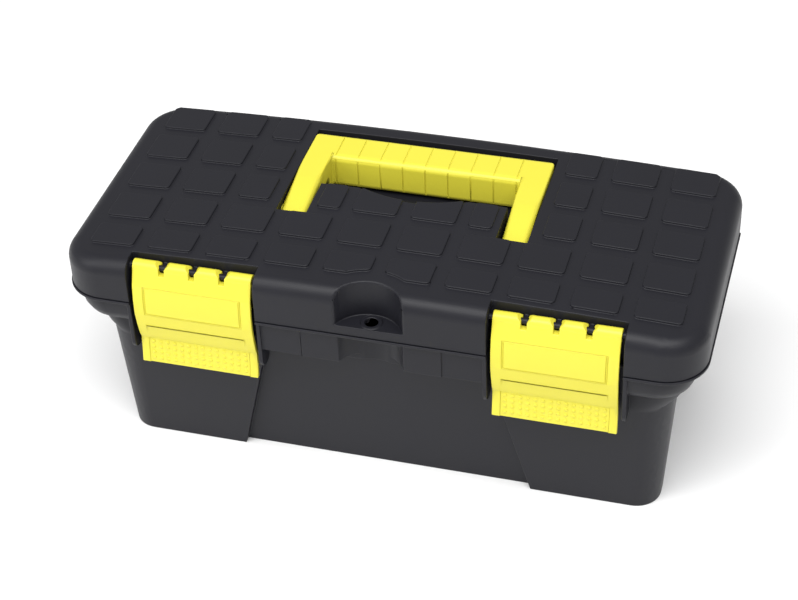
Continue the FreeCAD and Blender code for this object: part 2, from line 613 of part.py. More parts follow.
def tub_fittings(side, sign):
    """Hinge bay and knuckles at the back, and the ribs inside that carry the tray."""
    wall_y = f"({HINGE_Y} - knuckle_radius - hinge_back_gap)"
    middle = f"{sign} * hinge_spread"
    reach = (f"{middle} - {HINGE_BAY}", f"{middle} + {HINGE_BAY}")
    backing = [box(f"hinge_wall_{side}", (f"{reach[0]} - tub_wall", f"{reach[1]} + tub_wall"),
                   (f"{wall_y} - tub_wall", RIM_Y), (PANEL_TOP, RIM_TOP))]
    bay = box(f"hinge_cut_{side}", reach, (wall_y, f"{RIM_Y} + {CLEAR}"),
              (f"{HINGE_Z} - knuckle_radius - hinge_bay_gap", f"{RIM_TOP} + {OVER}"))
    half, inner = "hinge_width / 2", "(lid_knuckle / 2 + knuckle_gap)"
    knuckles = []
    for end, x in (("a", (f"{middle} - {half}", f"{middle} - {inner}")),
                   ("b", (f"{middle} + {inner}", f"{middle} + {half}"))):
        knuckles.append(rod(f"tub_knuckle_{end}_{side}", "knuckle_radius", x, HINGE_Y, HINGE_Z))
        knuckles.append(box(f"tub_knuckle_web_{end}_{side}", x, (f"{wall_y} - tub_wall / 2", HINGE_Y),
                            (f"{HINGE_Z} - knuckle_radius", RIM_TOP)))
    for end, at in (("front", "-rest_spread"), ("back", "rest_spread")):
        backing.append(box(f"tray_rest_{end}_{side}",
                           mirrored(sign, f"{TRAY_X} + rest_gap", f"{RIM_X} - tub_wall / 2"),
                           (f"{at} - rest_rib / 2", f"{at} + rest_rib / 2"),
                           (f"{PANEL_TOP} + rest_foot", TRAY_REST)))
    return backing, knuckles, bay


# ---- lid -------------------------------------------------------------------------------

RECESS_X = "(handle_half + recess_gap)"
PIVOT_Y = "(-handle_pivot_back)"
PIVOT_Z = "(parting_height + handle_pivot_rise)"
GRIP_BACK = f"({PIVOT_Y} + handle_reach)"
RECESS_BACK = f"({GRIP_BACK} + recess_back_gap)"
SLOT_FRONT = f"({PIVOT_Y} - handle_nose - recess_front_gap)"
SLOT_INNER = "(handle_half - leg_width - slot_gap)"
WELL_Z = "(parting_height + well_floor)"
BAY_Y = "(lid_width / 2 - bay_depth)"
TILE_Z = (f"{FIELD} - crown_drop - 2 * {BITE}", f"{FIELD} + {CLEAR}")
TILE_PITCH = "((lid_length - 2 * tile_margin + tile_gap) / 10)"


def tile_columns(beside_recess):
    """The tiles' left and right edges; beside the recess the middle ones are cut or left out."""
    keep_out = f"({RECESS_X} + tile_recess_gap)"
    least = value("tile_gap / 2")
    spans = []
    for column in range(5):
        near, far = f"{column} * {TILE_PITCH} + tile_gap / 2", f"{column + 1} * {TILE_PITCH} - tile_gap / 2"
        if beside_recess and value(far) < value(keep_out) + least:
            continue
        if beside_recess and value(near) < value(keep_out):
            near = keep_out
        spans += [mirrored(-1, near, far), mirrored(1, near, far)]
    return spans


def tile_blocks():
    """Blocks that the arch above the field trims to the raised tiles."""
    blocks = []
    back = f"({LID_Y} - tile_back_margin)"
    rows = [(f"{back} - {row} * tile_row_pitch - tile_depth", f"{back} - {row} * tile_row_pitch", row < 3)
            for row in range(4)]
    front_row = f"({back} - 3 * tile_row_pitch - tile_depth - tile_gap)"
    rows.append((f"{front_row} - front_tile_depth", front_row, False))
    for row, (y0, y1, beside_recess) in enumerate(rows):
        for column, x in enumerate(tile_columns(beside_recess)):
            blocks.append(box(f"tile_{row}_{column}", x, (y0, y1), TILE_Z))
    y = (f"{SLOT_FRONT} + bridge_tile_front", "bridge_back - bridge_tile_back")
    narrow = f"({SLOT_INNER} - bridge_tile_side - bridge_tile_narrow)"
    for side, sign in SIDES:
        blocks.append(box(f"bridge_tile_{side}",
                          mirrored(sign, "tile_gap / 2", f"{narrow} - bridge_tile_gap"), y, TILE_Z))
        blocks.append(box(f"bridge_narrow_{side}",
                          mirrored(sign, narrow, f"{narrow} + bridge_tile_narrow"), y, TILE_Z))
    return blocks


def tile_grid():
    """All tiles as one feature, their upright edges rounded, kept clear of the scallop."""
    square = cut("tile_square", fuse("tile_fused", tile_blocks()),
                 padlock_post("tile_relief", "scallop_radius + tile_scallop_gap", TILE_Z))
    body = new_body("tile_body")
    body.AllowCompound = True
    body.BaseFeature = square
    doc.recompute()
    fillet(body, "tile_round", body.Tip, "tile_corner", lambda edge: lies_along(edge, 2, 1))
    return body


def finger_scoop():
    """The shallow round bite in the field's back edge, for the fingers that lift the grip."""
    height = (f"{FIELD} - scoop_height", f"{FIELD} + {CLEAR}")
    disc = post("scoop_disc", "scoop_radius", "0", "bridge_back - scoop_depth + scoop_radius", height)
    front = box("scoop_front", (f"-{RECESS_X}", RECESS_X),
                (f"bridge_back - scoop_depth - {BITE}", f"bridge_back + {BITE}"), height)
    return common("finger_scoop", [disc, front])


def make_lid():
    outside = crowned_block("lid_outside", LID_X, LID_Y, "lid_corner", "parting_height", FIELD)
    round_top(outside, "lid_edge")
    inside = crowned_block("lid_inside", f"{LID_X} - lid_wall", f"{LID_Y} - lid_wall",
                           "lid_corner - lid_wall", f"parting_height - {OVER}", f"{FIELD} - lid_wall")
    round_top(inside, "lid_edge - lid_wall")
    envelope = crowned_block("lid_envelope", f"{LID_X} - skin", f"{LID_Y} - skin", "lid_corner - skin",
                             "parting_height", f"{FIELD} - skin")
    round_top(envelope, "lid_edge")
    tile_arch = crowned_block("tile_arch", f"{LID_X} - tile_margin / 2", f"{LID_Y} - lid_wall",
                              "lid_corner", TILE_Z[0], f"{FIELD} + tile_rise")
    tiles = common("tiles", [tile_grid(), tile_arch])

    skin_z = f"{FIELD} - lid_wall / 2"
    above = f"{FIELD} + {CLEAR}"
    shelf = "parting_height + shelf_rise"
    backing = [box("recess_shell", (f"-{RECESS_X} - lid_wall", f"{RECESS_X} + lid_wall"),
                   (f"{SLOT_FRONT} - lid_wall", f"{RECESS_BACK} + lid_wall"),
                   (f"{WELL_Z} - lid_wall", skin_z)),
               padlock_post("lid_scallop_shell", "scallop_radius + lid_wall",
                            (f"{shelf} - lid_wall", skin_z))]
    cutters = [box("well_cut", (f"-{RECESS_X}", RECESS_X), ("bridge_back", RECESS_BACK), (WELL_Z, above)),
               padlock_post("lid_scallop", "scallop_radius", (shelf, above)),
               finger_scoop()]
    added = [post("eye_ring", "eye_ring", "0", EYE_Y,
                  (f"{shelf} - lid_wall / 2", f"{shelf} + eye_ring_rise"))]
    bores = [post("lid_eye", "eye_radius", "0", EYE_Y, (f"parting_height - {OVER}", WELL_Z))]
    for side, sign in SIDES:
        cutters.append(box(f"slot_cut_{side}", mirrored(sign, SLOT_INNER, RECESS_X),
                           (SLOT_FRONT, f"bridge_back + {BITE}"), (WELL_Z, above)))
        middle = f"{sign} * latch_spread"
        reach = (f"{middle} - {BAY_HALF}", f"{middle} + {BAY_HALF}")
        backing.append(box(f"bay_shell_{side}", (f"{reach[0]} - lid_wall", f"{reach[1]} + lid_wall"),
                           (FRONT, f"-{BAY_Y} + lid_wall"), ("parting_height", skin_z)))
        cutters.append(box(f"bay_cut_{side}", reach, (f"{FRONT} - {CLEAR}", f"-{BAY_Y}"),
                           (f"parting_height - {OVER}", above)))
        added.append(rod(f"latch_bar_{side}", "bar_radius",
                         (f"{reach[0]} - {BITE} / 2", f"{reach[1]} + {BITE} / 2"), BAR_Y, BAR_Z))
        for i in (-1, 0, 1):
            at = f"({middle} + {i} * notch_pitch)"
            added.append(box(f"bar_rib_{side}_{i + 1}", (f"{at} - bar_rib / 2", f"{at} + bar_rib / 2"),
                             (BAR_Y, f"-{BAY_Y} + {BITE} / 2"),
                             (f"{BAR_Z} - 2 * bar_radius", f"{BAR_Z} + bar_radius / 2")))
        middle = f"{sign} * hinge_spread"
        reach = (f"{middle} - {HINGE_BAY}", f"{middle} + {HINGE_BAY}")
        cutters.append(box(f"lid_hinge_cut_{side}", reach,
                           (f"{LID_Y} - lid_wall - {OVER}", f"{LID_Y} + {CLEAR}"),
                           (f"parting_height - {OVER}", f"{HINGE_Z} + knuckle_radius + hinge_top_gap")))
        knuckle = (f"{middle} - lid_knuckle / 2", f"{middle} + lid_knuckle / 2")
        added.append(rod(f"lid_knuckle_{side}", "knuckle_radius", knuckle, HINGE_Y, HINGE_Z))
        added.append(box(f"lid_knuckle_web_{side}", knuckle,
                         (f"{LID_Y} - lid_wall - {BITE}", f"{HINGE_Y} + knuckle_radius"),
                         (HINGE_Z, f"{HINGE_Z} + knuckle_radius + 3 * {BITE}")))
        bores.append(rod(f"lid_bore_{side}", "pin_radius + running_fit",
                         (f"{knuckle[0]} - {BITE} / 2", f"{knuckle[1]} + {BITE} / 2"), HINGE_Y, HINGE_Z))
        bores.append(rod(f"peg_bore_{side}", "peg_radius + running_fit",
                         mirrored(sign, f"{RECESS_X} - lid_wall", f"{RECESS_X} + lid_wall + 2 * {BITE}"),
                         PIVOT_Y, PIVOT_Z))
        backing.append(rod(f"peg_boss_{side}", "peg_radius + peg_boss",
                           mirrored(sign, RECESS_X, f"{RECESS_X} + lid_wall + {BITE}"), PIVOT_Y, PIVOT_Z))
    trimmed = common("lid_backing_trimmed", [fuse("lid_backing", backing), envelope])
    shell = cut("lid_shell", outside, inside)
    walls = cut("lid_walls", fuse("lid_filled", [shell, trimmed, tiles]), fuse("lid_cutters", cutters))
    whole = fuse("lid_with_lugs", [walls] + added)
    return finished("lid", cut("lid_solid", whole, fuse("lid_bores", bores)))


# ---- carry handle ----------------------------------------------------------------------

def make_handle():
    """A U-shaped handle: two legs on pegs and a deep grip with grooves round it."""
    body = new_body("handle_body")
    top = f"({FIELD} + handle_proud)"
    out, inn = "handle_half", "(handle_half - leg_width)"
    front, back = f"({PIVOT_Y} - handle_nose)", GRIP_BACK
    grip = f"({back} - grip_depth)"
    corners = [(f"-{out}", front), (f"-{inn}", front), (f"-{inn}", grip), (inn, grip),
               (inn, front), (out, front), (out, back), (f"-{out}", back)]
    sole = f"{top} - grip_thickness"
    plan = outline(body, "handle_plan", "XY_Plane", corners, sole)
    pad(body, "handle_pad", plan, "grip_thickness")
    fillet(body, "nose_corners", body.Tip, "nose_corner",
           lambda edge: lies_along(edge, 2, 1) and abs(edge.BoundBox.YMin - value(front)) < 0.01)
    leg_sole = f"{PIVOT_Z} - leg_nose"
    under = outline(body, "handle_under", "YZ_Plane",
                    [(f"{front} - {OVER}", f"{sole} - {OVER}"), (f"{grip} - {BITE}", f"{sole} - {OVER}"),
                     (f"{grip} - underside_slope", f"{top} - leg_thickness"), (PIVOT_Y, leg_sole),
                     (f"{front} - {OVER}", leg_sole)])
    pocket(body, "handle_under_cut", under, "3 * handle_half", both_ways=True)
    slope = outline(body, "handle_slope", "YZ_Plane",
                    [(f"{front} + leg_slope", top), (f"{front} + leg_slope", f"{top} + {OVER}"),
                     (f"{front} - {OVER}", f"{top} + {OVER}"), (f"{front} - {OVER}", f"{top} - leg_fall"),
                     (front, f"{top} - leg_fall")])
    pocket(body, "handle_slope_cut", slope, "3 * handle_half", both_ways=True)
    for name, y, radius, length in (("nose", front, "leg_nose / 2", "leg_width / 3"),
                                    ("grip_front", grip, "grip_rounding", inn),
                                    ("grip_back", back, "grip_rounding", inn)):
        fillet(body, f"{name}_round", body.Tip, radius,
               lambda edge: lies_along(edge, 0, value(length)) and abs(edge.BoundBox.YMin - value(y)) < 0.01)
    slabs = []
    for i in range(-4, 5):
        x = (f"{i} * grip_groove_pitch - grip_groove / 2", f"{i} * grip_groove_pitch + grip_groove / 2")
        slabs.append(box(f"groove_{i + 4}", x, (f"{grip} - {BITE}", f"{back} + {BITE}"),
                         (f"{sole} - {BITE}", f"{top} + {BITE}")))
    core = box("groove_core", (f"-{out}", out), (f"{grip} + grip_groove_sunk", f"{back} - grip_groove_sunk"),
               (f"{sole} + grip_groove_sunk", f"{top} - grip_groove_sunk"))
    ribbed = cut("handle_ribbed", body, cut("groove_rings", fuse("groove_slabs", slabs), core))
    corners = new_body("handle_corners")
    pad(corners, "handle_corners_pad",
        rounded_rectangle(corners, "handle_corners_plan", f"{sole} - {BITE}", out, back, "handle_corner"),
        f"grip_thickness + 2 * {BITE}")
    rounded = common("handle_rounded", [ribbed, corners])
    pegs = [rod(f"peg_{side}", "peg_radius", mirrored(sign, f"{out} - {BITE}", f"{out} + peg_length"),
                PIVOT_Y, PIVOT_Z) for side, sign in SIDES]
    return finished("carry_handle", fuse("carry_handle_solid", [rounded] + pegs))


# ---- latches ---------------------------------------------------------------------------

# The latch's outer face from the knee of its foot up to its clip: distance behind the
# lid's front, then height above the lid's edge.
FACE = ((2.0, -38.5), (3.1, -31), (3.8, -23.8), (2.6, -21), (1.1, -14), (0, -6.5), (0.3, 2),
        (1.5, 9.9), (3.4, 15))
FRAME_ROWS = (5, 7)
GRIP_ROWS = (0, 2)


def face_skin(name, rows, depth, half, middle):
    """A thin slice of the latch's face between two of its heights."""
    points = FACE[rows[0]:rows[1] + 1]
    inner = [(f"{FRONT} + {y} + {depth}", f"parting_height + {z}") for y, z in points]
    outer = [(f"{FRONT} - {OVER}", inner[-1][1]), (f"{FRONT} - {OVER}", inner[0][1])]
    body = new_body(f"{name}_body")
    pad(body, f"{name}_pad", outline(body, f"{name}_view", "YZ_Plane", inner + outer), f"2 * {half}",
        both_ways=True)
    body.setExpression(".Placement.Base.x", formula(middle))
    return body


def make_latch(side, sign):
    """A plate with a knee, hung on the lid's bar by a C-shaped clip that three notches cut."""
    middle = f"({sign} * latch_spread)"
    half = "latch_width / 2"
    reach = (f"{middle} - {half}", f"{middle} + {half}")
    body = new_body(f"latch_{side}_body")
    outer = [(f"{FRONT} + {y}", f"parting_height + {z}") for y, z in FACE]
    inner = [(f"{y} + latch_plate", z) for y, z in outer]
    top = [(f"{BAR_Y} - clip_radius", BAR_Z), (f"{BAR_Y} - bar_radius - 2 * running_fit", BAR_Z)]
    view = outline(body, f"latch_view_{side}", "YZ_Plane", outer + top + inner[::-1])
    pad(body, f"latch_plate_{side}", view, "latch_width", both_ways=True)
    body.setExpression(".Placement.Base.x", formula(middle))

    past = (f"{reach[0]} - {BITE}", f"{reach[1]} + {BITE}")
    clip = cut(f"clip_{side}", rod(f"clip_round_{side}", "clip_radius", reach, BAR_Y, BAR_Z),
               rod(f"clip_bore_{side}", "bar_radius + running_fit", past, BAR_Y, BAR_Z))
    mouth = box(f"clip_mouth_{side}", past, (f"{BAR_Y} - clip_lip", f"{BAR_Y} + clip_radius + {BITE}"),
                (f"{BAR_Z} - clip_radius - {BITE}", f"{BAR_Z} - clip_mouth"))
    hook_top = "(parting_height - catch_drop - catch_height)"
    hook = box(f"hook_{side}", (f"{middle} - {half} + hook_inset", f"{middle} + {half} - hook_inset"),
               (f"{FRONT} + {BITE}", f"-{POCKET_Y} - catch_reach - catch_clear"),
               (f"{hook_top} - hook_height", hook_top))
    blank = fuse(f"latch_blank_{side}", [body, cut(f"clip_open_{side}", clip, mouth), hook])

    cutters = []
    deep = (f"{FRONT} - {OVER}", f"{BAR_Y} + clip_radius + {BITE}")
    brow = f"{BAR_Z} + clip_radius - notch_flare"
    for i in (-1, 0, 1):
        at = f"({middle} + {i} * notch_pitch)"
        narrow = (f"{at} - notch_width / 2", f"{at} + notch_width / 2")
        wide = (f"{narrow[0]} - 2 * notch_flare", f"{narrow[1]} + 2 * notch_flare")
        cutters.append(box(f"notch_{side}_{i + 1}", narrow, deep,
                           (f"{BAR_Z} - notch_drop", f"{BAR_Z} + 2 * {OVER}")))
        cutters.append(tapered_block(f"notch_mouth_{side}_{i + 1}", (brow, f"{brow} + 2 * notch_flare"),
                                     (*narrow, *deep), (*wide, *deep)))
    edges = [f"parting_height + {FACE[row][1]}" for row in FRAME_ROWS]
    island_half = "(frame_half - frame_line)"
    island = box(f"frame_island_{side}", (f"{middle} - {island_half}", f"{middle} + {island_half}"),
                 (f"{FRONT} - {CLEAR}", f"{FRONT} + {CLEAR}"),
                 (f"{edges[0]} + frame_line", f"{edges[1]} - frame_line"))
    frame_skin = face_skin(f"frame_skin_{side}", FRAME_ROWS, "frame_sunk", "frame_half", middle)
    cutters.append(cut(f"frame_{side}", frame_skin, island))
    cutters.append(face_skin(f"grip_field_{side}", GRIP_ROWS, "frame_sunk", "grip_field_half", middle))
    whole = cut(f"latch_{side}_solid", blank, fuse(f"latch_cutters_{side}", cutters))
    return finished(f"latch_{side}", whole)


# ---- hinge rods ------------------------------------------------------------------------

def make_hinge_pin(side, sign):
    middle = f"{sign} * hinge_spread"
    pin = rod(f"hinge_pin_{side}_rod", "pin_radius",
              (f"{middle} - hinge_width / 2", f"{middle} + hinge_width / 2"), HINGE_Y, HINGE_Z)
    return finished(f"hinge_pin_{side}", pin)


# ---- tray and dividers -----------------------------------------------------------------

TRAY_LOW = f"({TRAY_TOP} - tray_depth)"
CHANNEL_Y = ("-channel_back - tray_wall", "-channel_back")
GUIDE_Z = f"({TRAY_TOP} - guide_drop)"


def make_tray():
    body = new_body("tray_body")
    for kind, name, inset, low in (("PartDesign::AdditiveLoft", "tray_outside", "0", TRAY_LOW),
                                   ("PartDesign::SubtractiveLoft", "tray_inside", "tray_wall",
                                    f"{TRAY_LOW} + tray_wall")):
        top = TRAY_TOP if inset == "0" else f"{TRAY_TOP} + {BITE}"
        loft(body, name, kind,
             [(low, f"{TRAY_X} - tray_draft - {inset}", f"{TRAY_Y} - tray_draft - {inset}",
               f"tray_corner - {inset}"),
              (top, f"{TRAY_X} - {inset}", f"{TRAY_Y} - {inset}", f"tray_corner - {inset}")])
    mid_z = (f"{TRAY_LOW} + tray_wall / 2", GUIDE_Z)
    reach = f"({TRAY_X} - tray_wall / 2 - tray_draft / 2)"
    back = f"({TRAY_Y} - tray_wall / 2 - tray_draft)"
    bar_y = ("grip_bar_back - grip_bar / 2", "grip_bar_back + grip_bar / 2")
    bar_z = (f"{TRAY_TOP} - grip_bar_height", TRAY_TOP)
    added = [box("channel_wall", (f"-{reach}", reach), CHANNEL_Y, mid_z),
             box("grip_bar", ("-cell_half", "cell_half"), bar_y, bar_z)]
    for side, sign in SIDES:
        x = (f"{sign} * cell_half - tray_wall / 2", f"{sign} * cell_half + tray_wall / 2")
        added.append(box(f"cell_wall_{side}", x, (CHANNEL_Y[0], back), mid_z))
        added.append(box(f"cell_wall_top_{side}", x, bar_y, bar_z))
        added.append(box(f"flange_{side}",
                         mirrored(sign, f"{TRAY_X} - tray_wall / 2", f"{TRAY_X} + tray_flange"),
                         (f"-({TRAY_Y} - tray_corner)", f"{TRAY_Y} - tray_corner"),
                         (f"{TRAY_TOP} - flange_thickness", TRAY_TOP)))
        slot = "(divider_thickness / 2 + divider_gap)"
        for face, y in (("front", (CHANNEL_Y[0], f"{CHANNEL_Y[1]} + guide_depth")),
                        ("back", (f"{back} - guide_depth", back))):
            for edge, x0 in (("a", f"{sign} * divider_spread - {slot} - guide_rib"),
                             ("b", f"{sign} * divider_spread + {slot}")):
                added.append(box(f"guide_{face}_{edge}_{side}", (x0, f"{x0} + guide_rib"), y, mid_z))
    return finished("tray", fuse("tray_solid", [body] + added))


def make_divider(side, sign):
    middle = f"{sign} * divider_spread"
    back = f"({TRAY_Y} - tray_wall - tray_draft)"
    plate = box(f"tray_divider_{side}_plate",
                (f"{middle} - divider_thickness / 2", f"{middle} + divider_thickness / 2"),
                ("-channel_back + divider_gap", f"{back} - divider_gap"),
                (f"{TRAY_LOW} + tray_wall + divider_gap", f"{GUIDE_Z} - divider_drop"))
    return finished(f"tray_divider_{side}", plate)


make_tub()
make_lid()
make_handle()
make_tray()
for side, sign in SIDES:
    make_latch(side, sign)
    make_hinge_pin(side, sign)
    make_divider(side, sign)

doc.recompute()
failed = [thing.Label for thing in doc.Objects if "Invalid" in thing.State or "Error" in thing.State]
assert not failed, f"not built: {failed}"
for piece in PIECES:
    assert not piece.Shape.isNull() and piece.Shape.isValid(), f"{piece.Label} has no valid shape"

os.makedirs("parts", exist_ok=True)
for piece in PIECES:
    piece.Shape.exportStep(f"parts/{piece.Label}.step")
    print(piece.Label, len(piece.Shape.Solids), "solid,", round(piece.Shape.Volume / 1000, 1), "cm3,",
          piece.Shape.BoundBox)
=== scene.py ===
import math

import bpy
from mathutils import Matrix, Quaternion, Vector


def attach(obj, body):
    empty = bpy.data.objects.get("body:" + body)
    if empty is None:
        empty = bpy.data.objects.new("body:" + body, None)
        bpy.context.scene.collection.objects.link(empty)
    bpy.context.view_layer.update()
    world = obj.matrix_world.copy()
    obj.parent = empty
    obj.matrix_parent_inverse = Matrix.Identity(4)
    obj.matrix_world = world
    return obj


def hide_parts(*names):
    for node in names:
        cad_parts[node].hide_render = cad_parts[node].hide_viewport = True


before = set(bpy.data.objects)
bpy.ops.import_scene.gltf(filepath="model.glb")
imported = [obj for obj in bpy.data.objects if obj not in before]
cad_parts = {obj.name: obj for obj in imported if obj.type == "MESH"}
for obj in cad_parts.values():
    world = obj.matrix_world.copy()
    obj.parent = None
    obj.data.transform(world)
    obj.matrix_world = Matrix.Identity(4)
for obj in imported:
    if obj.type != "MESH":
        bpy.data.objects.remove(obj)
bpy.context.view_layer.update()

MM = 0.001


# ---- studio ----------------------------------------------------------------------------
# The box stands on a pale seamless sheet, seen from the front right and from above. A wide
# soft light hangs over its front, a weaker one stands to the left, and the room is white in
# front and greyer behind.

AIM = Vector((-7.0, 2.3, 62.0)) * MM
CAMERA_DISTANCE = 1028.3 * MM
CAMERA_AZIMUTH = math.radians(17.10)
CAMERA_ELEVATION = math.radians(38.48)
CAMERA_ROLL = math.radians(-2.60)
LENS_MM = 89.2
FLOOR_SIZE = 12.0
FLOOR_WHITE = "#F4F4F4"
FLOOR_ROUGHNESS = 0.8
ROOM_FRONT_BRIGHTNESS = 0.72
ROOM_BACK_BRIGHTNESS = 0.46

scene = bpy.context.scene
scene.view_settings.view_transform = "Standard"


def linear(hex_colour):
    """An sRGB hex colour as linear red, green, blue and alpha."""
    parts = [int(hex_colour[i:i + 2], 16) / 255 for i in (1, 3, 5)]
    return [p / 12.92 if p <= 0.04045 else ((p + 0.055) / 1.055) ** 2.4 for p in parts] + [1.0]


def add_node(tree, kind, settings=None, links=None):
    """One shader node: settings fill its own values or its sockets, links feed its sockets."""
    node = tree.nodes.new(kind)
    for key, value in (settings or {}).items():
        if isinstance(key, int) or key in node.inputs:
            node.inputs[key].default_value = value
        else:
            setattr(node, key, value)
    for key, source in (links or {}).items():
        tree.links.new(source, node.inputs[key])
    return node


def deselect_all():
    if bpy.context.mode != "OBJECT":
        bpy.ops.object.mode_set(mode="OBJECT")
    bpy.ops.object.select_all(action="DESELECT")


def add_light(name, place, size, power):
    """A rectangular soft light that faces the box."""
    facing = (AIM - Vector(place)).to_track_quat("-Z", "Y").to_euler()
    bpy.ops.object.light_add(type="AREA", location=place, rotation=facing)
    light = bpy.context.object
    light.name = name
    light.data.shape = "RECTANGLE"
    light.data.size, light.data.size_y = size
    light.data.energy = power


deselect_all()
level = math.cos(CAMERA_ELEVATION)
from_box = Vector((math.sin(CAMERA_AZIMUTH) * level, -math.cos(CAMERA_AZIMUTH) * level,
                   math.sin(CAMERA_ELEVATION)))
view_turn = (-from_box).to_track_quat("-Z", "Y") @ Quaternion((0, 0, 1), CAMERA_ROLL)
bpy.ops.object.camera_add()
camera = bpy.context.object
camera.name = "camera"
camera.data.lens = LENS_MM
camera_place = Matrix.Translation(AIM + from_box * CAMERA_DISTANCE)
camera.matrix_world = camera_place @ view_turn.to_matrix().to_4x4()
scene.camera = camera

add_light("light_above", (0.1, -0.5, 1.2), (1.5, 0.7), 19.0)
add_light("light_left", (-1.1, -0.9, 0.8), (0.8, 0.7), 7.0)

room = bpy.data.worlds.new("room")
room.use_nodes = True
room.node_tree.nodes["Background"].inputs["Color"].default_value = linear("#FFFFFF")
direction = add_node(room.node_tree, "ShaderNodeTexCoord").outputs["Generated"]
front_to_back = add_node(room.node_tree, "ShaderNodeSeparateXYZ", None, {"Vector": direction})
room_brightness = {"From Min": -1.0, "To Min": ROOM_FRONT_BRIGHTNESS, "To Max": ROOM_BACK_BRIGHTNESS}
brightness = add_node(room.node_tree, "ShaderNodeMapRange", room_brightness,
                      {"Value": front_to_back.outputs["Y"]})
room.node_tree.links.new(brightness.outputs["Result"],
                         room.node_tree.nodes["Background"].inputs["Strength"])
scene.world = room

deselect_all()
bpy.ops.mesh.primitive_plane_add(size=FLOOR_SIZE, location=(0, 0, 0))
floor = bpy.context.object
floor.name = "floor"
floor_paint = bpy.data.materials.new("floor_white_paper")
floor_paint.use_nodes = True
floor_shader = floor_paint.node_tree.nodes["Principled BSDF"]
floor_shader.inputs["Base Color"].default_value = linear(FLOOR_WHITE)
floor_shader.inputs["Roughness"].default_value = FLOOR_ROUGHNESS
floor.data.materials.append(floor_paint)


# ---- tub -------------------------------------------------------------------------------
# The tub is one deep injection moulding in black polypropylene with a fine spark-eroded
# grain. Its rim is stiffened by a band and a thin flange, and two guard ribs stand beside
# each latch. The mould's edges leave a small rounding on every corner.

TUB_ROUNDING_MM = 0.45
SAME_POINT_MM = 0.005
FLAT = math.radians(0.15)
SHARP = math.radians(32)
SMOOTH = math.radians(35)
ROUNDING_STEPS = 3
POLYPROPYLENE_IOR = 1.49
BLACK = ("#18181D", "#1B1B21")
BLACK_ROUGHNESS = 0.44
BLACK_GLOSS = 0.26
GRAIN_MM = 0.8
GRAIN_DEPTH_MM = 0.018
DRIFT_MM = 40
ROUGHNESS_DRIFT = 0.05


def polypropylene(name, colours, roughness, gloss, grain_depth):
    """Moulded polypropylene: an even colour that drifts a little, under a fine matte grain.

    The mould's grain is about 0.1 mm across, too fine to show, so it is drawn at 0.8 mm. It
    breaks up the reflections, which leaves the flats soft and only the rounded edges lit."""
    material = bpy.data.materials.new(name)
    material.use_nodes = True
    tree = material.node_tree
    shader = tree.nodes["Principled BSDF"]
    shader.inputs["IOR"].default_value = POLYPROPYLENE_IOR
    shader.inputs["Specular IOR Level"].default_value = gloss
    place = add_node(tree, "ShaderNodeTexCoord").outputs["Object"]
    drift = add_node(tree, "ShaderNodeTexNoise", {"Scale": 1 / (DRIFT_MM * MM), "Detail": 3.0},
                     {"Vector": place}).outputs["Fac"]
    # The colour sockets of a Mix node are its seventh and eighth, and its third result.
    tint = add_node(tree, "ShaderNodeMix",
                    {"data_type": "RGBA", 6: linear(colours[0]), 7: linear(colours[1])},
                    {"Factor": drift})
    tree.links.new(tint.outputs[2], shader.inputs["Base Color"])
    polish = add_node(tree, "ShaderNodeMapRange",
                      {"To Min": roughness - ROUGHNESS_DRIFT, "To Max": roughness + ROUGHNESS_DRIFT},
                      {"Value": drift})
    tree.links.new(polish.outputs["Result"], shader.inputs["Roughness"])
    grain = add_node(tree, "ShaderNodeTexNoise", {"Scale": 1 / (GRAIN_MM * MM), "Detail": 2.0},
                     {"Vector": place})
    relief = add_node(tree, "ShaderNodeBump", {"Strength": 1.0, "Distance": grain_depth * MM},
                      {"Height": grain.outputs["Fac"]})
    tree.links.new(relief.outputs["Normal"], shader.inputs["Normal"])
    return material


def moulded_copy(node_name, name, rounding, soft_rounding=0.0, is_soft=None):
    """The CAD shape with its sharp edges rounded as a mould leaves them.

    is_soft(middle of an edge, in mm) picks the edges that get the wider soft rounding."""
    piece = bpy.data.objects.new(name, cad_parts[node_name].data.copy())
    scene.collection.objects.link(piece)
    deselect_all()
    piece.select_set(True)
    bpy.context.view_layer.objects.active = piece
    bpy.ops.object.mode_set(mode="EDIT")
    bpy.ops.mesh.select_all(action="SELECT")
    bpy.ops.mesh.remove_doubles(threshold=SAME_POINT_MM * MM)
    bpy.ops.mesh.dissolve_limited(angle_limit=FLAT)
    bpy.ops.mesh.select_all(action="DESELECT")
    bpy.ops.mesh.select_mode(type="EDGE")
    bpy.ops.mesh.edges_select_sharp(sharpness=SHARP)
    bpy.ops.object.mode_set(mode="OBJECT")
    mesh = piece.data
    widest = max(rounding, soft_rounding)
    weights = mesh.attributes.new("bevel_weight_edge", "FLOAT", "EDGE")
    for edge in mesh.edges:
        if not edge.select:
            continue
        ends = [mesh.vertices[i].co / MM for i in edge.vertices]
        soft = is_soft is not None and is_soft((ends[0] + ends[1]) / 2)
        weights.data[edge.index].value = (soft_rounding if soft else rounding) / widest
    edges = piece.modifiers.new("edges", "BEVEL")
    edges.width = widest * MM
    edges.segments = ROUNDING_STEPS
    edges.limit_method = "WEIGHT"
    edges.use_clamp_overlap = False
    edges.miter_outer = "MITER_ARC"
    bpy.ops.object.modifier_apply(modifier="edges")
    bpy.ops.object.shade_smooth_by_angle(angle=SMOOTH)
    facets = piece.modifiers.new("facets", "WEIGHTED_NORMAL")
    facets.keep_sharp = True
    bpy.ops.object.modifier_apply(modifier="facets")
    return piece


def stand_in(piece, node_name, body, material):
    """Give a piece its material, let it move with a CAD body and stand for a CAD shape."""
    piece.data.materials.clear()
    piece.data.materials.append(material)
    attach(piece, body)
    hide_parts(node_name)


